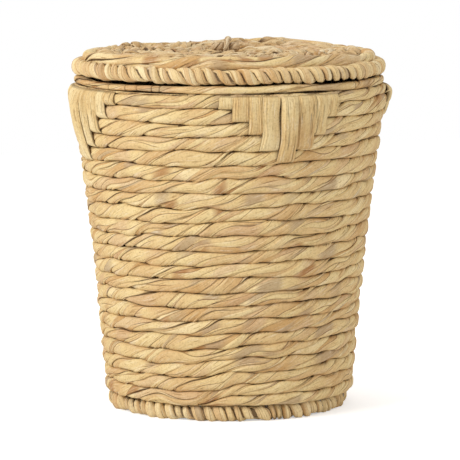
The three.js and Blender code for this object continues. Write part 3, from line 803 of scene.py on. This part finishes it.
straps = {
    "thickness": 3.4 * mm,
    "standOff": -1.0 * mm,  # the strand gives way under a strap
    "below": 1.0 * mm,  # from the top of their nodes
    "bend": 6.5 * mm,  # how far each end turns into the wall
    "topBend": 1.8,  # how much rounder it is over the top
    "endThickness": 0.55,
    "endLength": 4 * mm,
    "sideThinning": 0.25,
    "flare": 0.7 * mm,  # each side, at the lower end
    "sway": 0.5 * mm,
    "ridge": 0.4 * mm,
    "slits": {"left": 0, "right": 4, "middle": 3},
    "slitDepth": 0.9 * mm,
    "slitWidth": 0.65 * mm,
    # painted shade in the slits, at the sides and near the ends
    "shade": 0.85,  # how dark a slit and the sides are
    "endShade": 0.8,
    "endShadeLength": 2.5 * mm,
    "bow": 8.5 * mm,  # of the middle strap
    "bowShares": {  # of it, by length in courses
        "front": (0.06, 0.1, 0.17, 0.25, 0.9), "right": (0.3, 0.64, 0.72, 0.72, 0.9),
        "back": (0.1, 0.2, 0.3, 0.4, 1), "left": (0.05, 0.1, 0.2, 0.5, 1),
    },
    "longFrom": 4,  # courses, from which a strap bows at its upper half
    "bowAt": (0, 0.06, 0.13, 0.22, 0.35, 0.5, 0.65, 0.8, 0.92, 1),
    "bowThere": (0, 0.2, 0.5, 0.88, 1, 0.92, 0.75, 0.45, 0.1, 0),
    "hollow": 0.5,  # share of a bow that is open behind the strap
    "rows": 44,
    "columns": 60,
}
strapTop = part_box("strap_middle_front")[1].z - straps["below"]


# One strap: a flat tube from under the rim down to a joint of the wall. Part says how many slits it has.
def strapTube(side, group, stem, part, seed):
    fromDegrees, toDegrees, courses = stem
    azimuth, share, lastTurn = strapPlace(group, stem)
    joint = jointHeight(lastTurn, np.array([share]))
    top, bottom = strapTop + float(rimLift(azimuth)), float(joint[0]) + 0.2 * mm
    width = crownRadius(wallTop) * math.radians(toDegrees - fromDegrees)
    drop = np.linspace(0, 1, straps["rows"])
    height = top + (bottom - top) * drop
    fromEnd = np.minimum(height - bottom, (top - height) / straps["topBend"])
    dive = straps["bend"] * (1 - np.sqrt(1 - (1 - np.clip(fromEnd / straps["bend"], 0, 1)) ** 2))
    radius = crownRadius(height) + straps["standOff"] - dive
    if courses >= straps["longFrom"]:
        shape = np.interp(drop, straps["bowAt"], straps["bowThere"])
    else:
        shape = np.sin(math.pi * drop) ** 0.6
    bulge = straps["bow"] * straps["bowShares"][side][courses - 1] * shape
    wave = waver(seed, 40 * mm, 120 * mm)
    spread = width / 2 * (1.04 + 0.03 * wave(height)) + straps["flare"] * smoothStep(drop * 3 - 2)
    lean = straps["sway"] * wave(height + 0.3)
    around = np.linspace(0, fullTurn, straps["columns"] + 1)
    sideShare = np.sign(np.cos(around)) * np.abs(np.cos(around)) ** 0.8
    depthShare = np.where(np.sin(around) > 0, np.abs(np.sin(around)) ** 0.5, 0)
    dice = np.random.default_rng(seed)
    slits = np.zeros((len(drop), len(around)))
    for place in dice.uniform(-0.85, 0.85, straps["slits"][part]):
        start, length, drift = dice.uniform(-0.2, 0.6), dice.uniform(0.25, 0.8), dice.uniform(-0.2, 0.2)
        fade = smoothStep((drop - start) / 0.12) * smoothStep((start + length - drop) / 0.12)
        away = (sideShare - place - drift * drop[:, None]) * width / 2
        slits = np.maximum(slits, np.exp(-(away / straps["slitWidth"]) ** 2) * fade[:, None])
    ridges = straps["ridge"] * waver(seed + 7, 0.25, 0.9)(sideShare * 2 + 0.06 * wave(height)[:, None])
    full = straps["endThickness"] + (1 - straps["endThickness"]) * np.clip(fromEnd / straps["endLength"], 0, 1)
    thick = straps["thickness"] * full + bulge
    offset = spread[:, None] * sideShare + lean[:, None]
    relief = np.where(depthShare > 0.5, ridges - straps["slitDepth"] * slits, 0)
    back = straps["hollow"] * bulge[:, None]
    rounded = depthShare * (1 - straps["sideThinning"] * np.abs(sideShare) ** 4)
    depth = back + (thick[:, None] - back) * rounded + relief
    depth -= offset ** 2 / (2 * radius[:, None])
    points = (
        outward(azimuth) * (radius[:, None] + depth)[..., None]
        + sideways(azimuth) * offset[..., None]
        + np.array([0, 0, 1]) * height[:, None, None]
    )
    # Painted shade at the sides, in the slits and near the ends, where the strap turns into the wall
    sideShade = straps["shade"] * smoothStep((np.abs(sideShare) - 0.94) / 0.06)
    endShade = straps["endShade"] * smoothStep(1 - fromEnd / straps["endShadeLength"])[:, None]
    paintedShade = np.maximum.reduce([sideShade + 0 * depth, straps["shade"] * slits, endShade + 0 * depth])
    run = np.stack([height[:, None] + 0 * depth, 0 * depth, 0.5 + 0.5 * sideShare + 3.7 * seed + 0 * depth], -1)
    leaf = seed * 10 + 0.5 + 0 * depth
    return tubeFromGrid(f"{side}_stem", *closeEnds(points, {"run": run, "leaf": leaf, "paintedShade": paintedShade}))


for number, (side, (groupDegrees, rightSide)) in enumerate(strapGroups.items()):
    for part, stems in (("left", leftStems), ("right", rightSide)):
        tubes = [strapTube(side, groupDegrees, stem, part, 400 + 20 * number + 3 * i + len(part))
                 for i, stem in enumerate(stems)]
        fan = finishTubes(f"strap_stems_{side}_{part}", tubes)
        settle(fan, "basket", [f"strap_fan_{side}_{part}"], strapHyacinth)
    longTube = strapTube(side, groupDegrees, middleStem, "middle", 490 + number)
    longStem = finishTubes(f"strap_long_{side}", [longTube])
    settle(longStem, "basket", [f"strap_middle_{side}"], strapHyacinth)
print("straps made")


# Pull: two knobs of a short bundle, and a loop of strand standing over its waist

pull = {
    "turned": math.radians(cameraDegrees),
    "seat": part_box("pull_bundle")[0].z + 2.0 * mm,
    "knobs": (  # from and to along the bundle, height of the middle, half depth and half height
        (-21.5 * mm, -3 * mm, 7.0 * mm, 6.5 * mm, 5.4 * mm), (-0.5 * mm, 13 * mm, 6.2 * mm, 7.5 * mm, 6.6 * mm),
    ),
    "loopMiddle": (-3.4 * mm, 8.0 * mm),
    "loopReach": (8.5 * mm, 8.2 * mm),
    "loopLean": 2.6 * mm,
    "loopRadius": 3.4 * mm,
    "loopFrom": math.radians(-50),
    "loopTo": math.radians(215),
    "loopTaper": 3 * mm,
    "knobRows": 26,
    "loopRows": 48,
}
pullTwist = {
    **wallTwist, "lay": 26 * mm, "plyWidths": (1.4, 1), "waverLengths": (12 * mm, 40 * mm), "fullSize": 6 * mm,
    "columns": 16, "windWaver": 0.2, "sink": 0.8 * mm, "power": 2.2, "leafStep": 0.4 * mm, "core": (0.5, 0.5),
    "joints": (0, 0),
}
pullRight, pullNear = sideways(pull["turned"]), outward(pull["turned"])
upwards = np.array([0, 0, 1.0])


# The line of a strand with two ends
def openLine(along, centre, out, up, halfOut, halfUp):
    return {"along": along, "centre": centre, "out": out + 0 * centre, "up": up + 0 * centre,
            "halfOut": halfOut + 0 * along, "halfUp": halfUp + 0 * along, "ringLength": None, "notch": 0 * along,
            "lowest": 0.0}


for i, (start, end, middle, halfOut, halfUp) in enumerate(pull["knobs"]):
    share = np.linspace(0.01, 0.99, pull["knobRows"])
    along = start + (end - start) * share
    centre = pullRight * along[:, None] + upwards * (pull["seat"] + middle)
    full = (1 - np.abs(2 * share - 1) ** 3) ** 0.5
    line = openLine(along, centre, pullNear, upwards, halfOut * full, halfUp * full)
    knob = twistedStrand(f"pull_knob_{i + 1}", line, pullTwist, 601 + i)
    settle(knob, "lid", ["pull_bundle"], pullHyacinth)

bend = np.linspace(pull["loopFrom"], pull["loopTo"], pull["loopRows"])
nearReach, upReach = pull["loopReach"]
loopRight, loopUp = pull["loopMiddle"]
reach = pullNear * np.cos(bend)[:, None] * nearReach + upwards * np.sin(bend)[:, None] * upReach
centre = pullRight * (loopRight + pull["loopLean"] * np.maximum(np.sin(bend), 0) ** 2)[:, None] + reach
centre += upwards * (pull["seat"] + loopUp)
along = np.concatenate([[0], np.cumsum(np.linalg.norm(np.diff(centre, axis=0), axis=1))])
fromEnd = np.minimum(along, along[-1] - along)
fullness = pull["loopRadius"] * np.clip(fromEnd / pull["loopTaper"] + 0.4, 0, 1)
outwards = reach / np.linalg.norm(reach, axis=1)[:, None]
loop = twistedStrand("pull_strand_loop", openLine(along, centre, outwards, pullRight, fullness, 1.05 * fullness),
                     {**pullTwist, "lay": 34 * mm, "fullSize": 4 * mm}, 610)
settle(loop, "lid", ["pull_loop"], pullHyacinth)
print("pull made")

for node in ("wire_frame", "lid_wire_frame"):
    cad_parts[node].data.materials.clear()
    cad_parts[node].data.materials.append(bareWire)


# Studio: a pale floor, one large soft lamp from the upper left, a weaker one from the right

studio = {
    "cameraAzimuth": math.radians(cameraDegrees),
    "cameraDistance": 3.53,
    "cameraHeight": 0.595,
    "aimHeight": 0.209,
    "aimRight": 0.0012,
    "lens": 231,
    "clipEnd": 50,
    "lamps": (  # name, azimuth, distance, height, size and watts
        ("key_lamp", -75, 2.6, 1.9, 1.6, 52), ("fill_lamp", 35, 3.0, 1.2, 2.2, 13.5),
        ("top_lamp", 180, 1.2, 2.6, 1.6, 10),
    ),
    "lampAim": 0.22,
    "floorSize": 7,
    "paper": "#f4f4f4",
    "paperGlow": 0.45,  # only what the camera sees, so that the floor is as pale as the sky
    "sky": 0.6,
}


def lookAt(thing, target):
    thing.rotation_euler = (target - thing.location).to_track_quat("-Z", "Y").to_euler()


def addLamp(name, azimuthDegrees, distance, height, size, watts):
    deselectAll()
    place = Vector(outward(math.radians(azimuthDegrees)) * distance) + Vector((0, 0, height))
    bpy.ops.object.light_add(type="AREA", location=place)
    lamp = bpy.context.object
    lamp.name = lamp.data.name = name
    lamp.data.size = size
    lamp.data.energy = watts
    lookAt(lamp, Vector((0, 0, studio["lampAim"])))


for lampValues in studio["lamps"]:
    addLamp(*lampValues)

deselectAll()
bpy.ops.mesh.primitive_plane_add(size=studio["floorSize"])
floor = bpy.context.object
floor.name = floor.data.name = "studio_floor"
# Matt white paper: even and almost without gloss
paper, paperTree, paperShader = newFinish("matt_paper_sweep", 0.9, 0.1)
paperShader.inputs["Base Color"].default_value = linearColour(studio["paper"])
seen = addNode(paperTree, "ShaderNodeLightPath").outputs["Is Camera Ray"]
glow = addNode(paperTree, "ShaderNodeEmission", None,
               Strength=mathNode(paperTree, "MULTIPLY", seen, studio["paperGlow"]))
both = addNode(paperTree, "ShaderNodeAddShader", None, _0=paperShader.outputs[0], _1=glow.outputs[0])
paperTree.links.new(both.outputs[0], paperTree.nodes["Material Output"].inputs["Surface"])
floor.data.materials.append(paper)

world = bpy.data.worlds.new("studio")
bpy.context.scene.world = world
world.use_nodes = True
world.node_tree.nodes.clear()
seen = addNode(world.node_tree, "ShaderNodeLightPath")
straight = mathNode(world.node_tree, "MAXIMUM", seen.outputs["Is Camera Ray"], seen.outputs["Is Glossy Ray"])
straight = mathNode(world.node_tree, "MAXIMUM", straight, seen.outputs["Is Transmission Ray"])
strength = addNode(world.node_tree, "ShaderNodeMapRange", None, _0=straight, _3=studio["sky"], _4=1.0)
sky = addNode(world.node_tree, "ShaderNodeBackground", None, Color=linearColour("#ffffff"),
              Strength=strength.outputs[0])
addNode(world.node_tree, "ShaderNodeOutputWorld", None, Surface=sky.outputs[0])

deselectAll()
place = Vector(outward(studio["cameraAzimuth"]) * studio["cameraDistance"])
bpy.ops.object.camera_add(location=place + Vector((0, 0, studio["cameraHeight"])))
camera = bpy.context.object
camera.data.lens = studio["lens"]
camera.data.clip_end = studio["clipEnd"]
aim = Vector(sideways(studio["cameraAzimuth"]) * studio["aimRight"]) + Vector((0, 0, studio["aimHeight"]))
lookAt(camera, aim)
bpy.context.scene.camera = camera
bpy.context.scene.view_settings.view_transform = "Standard"
print("studio made")
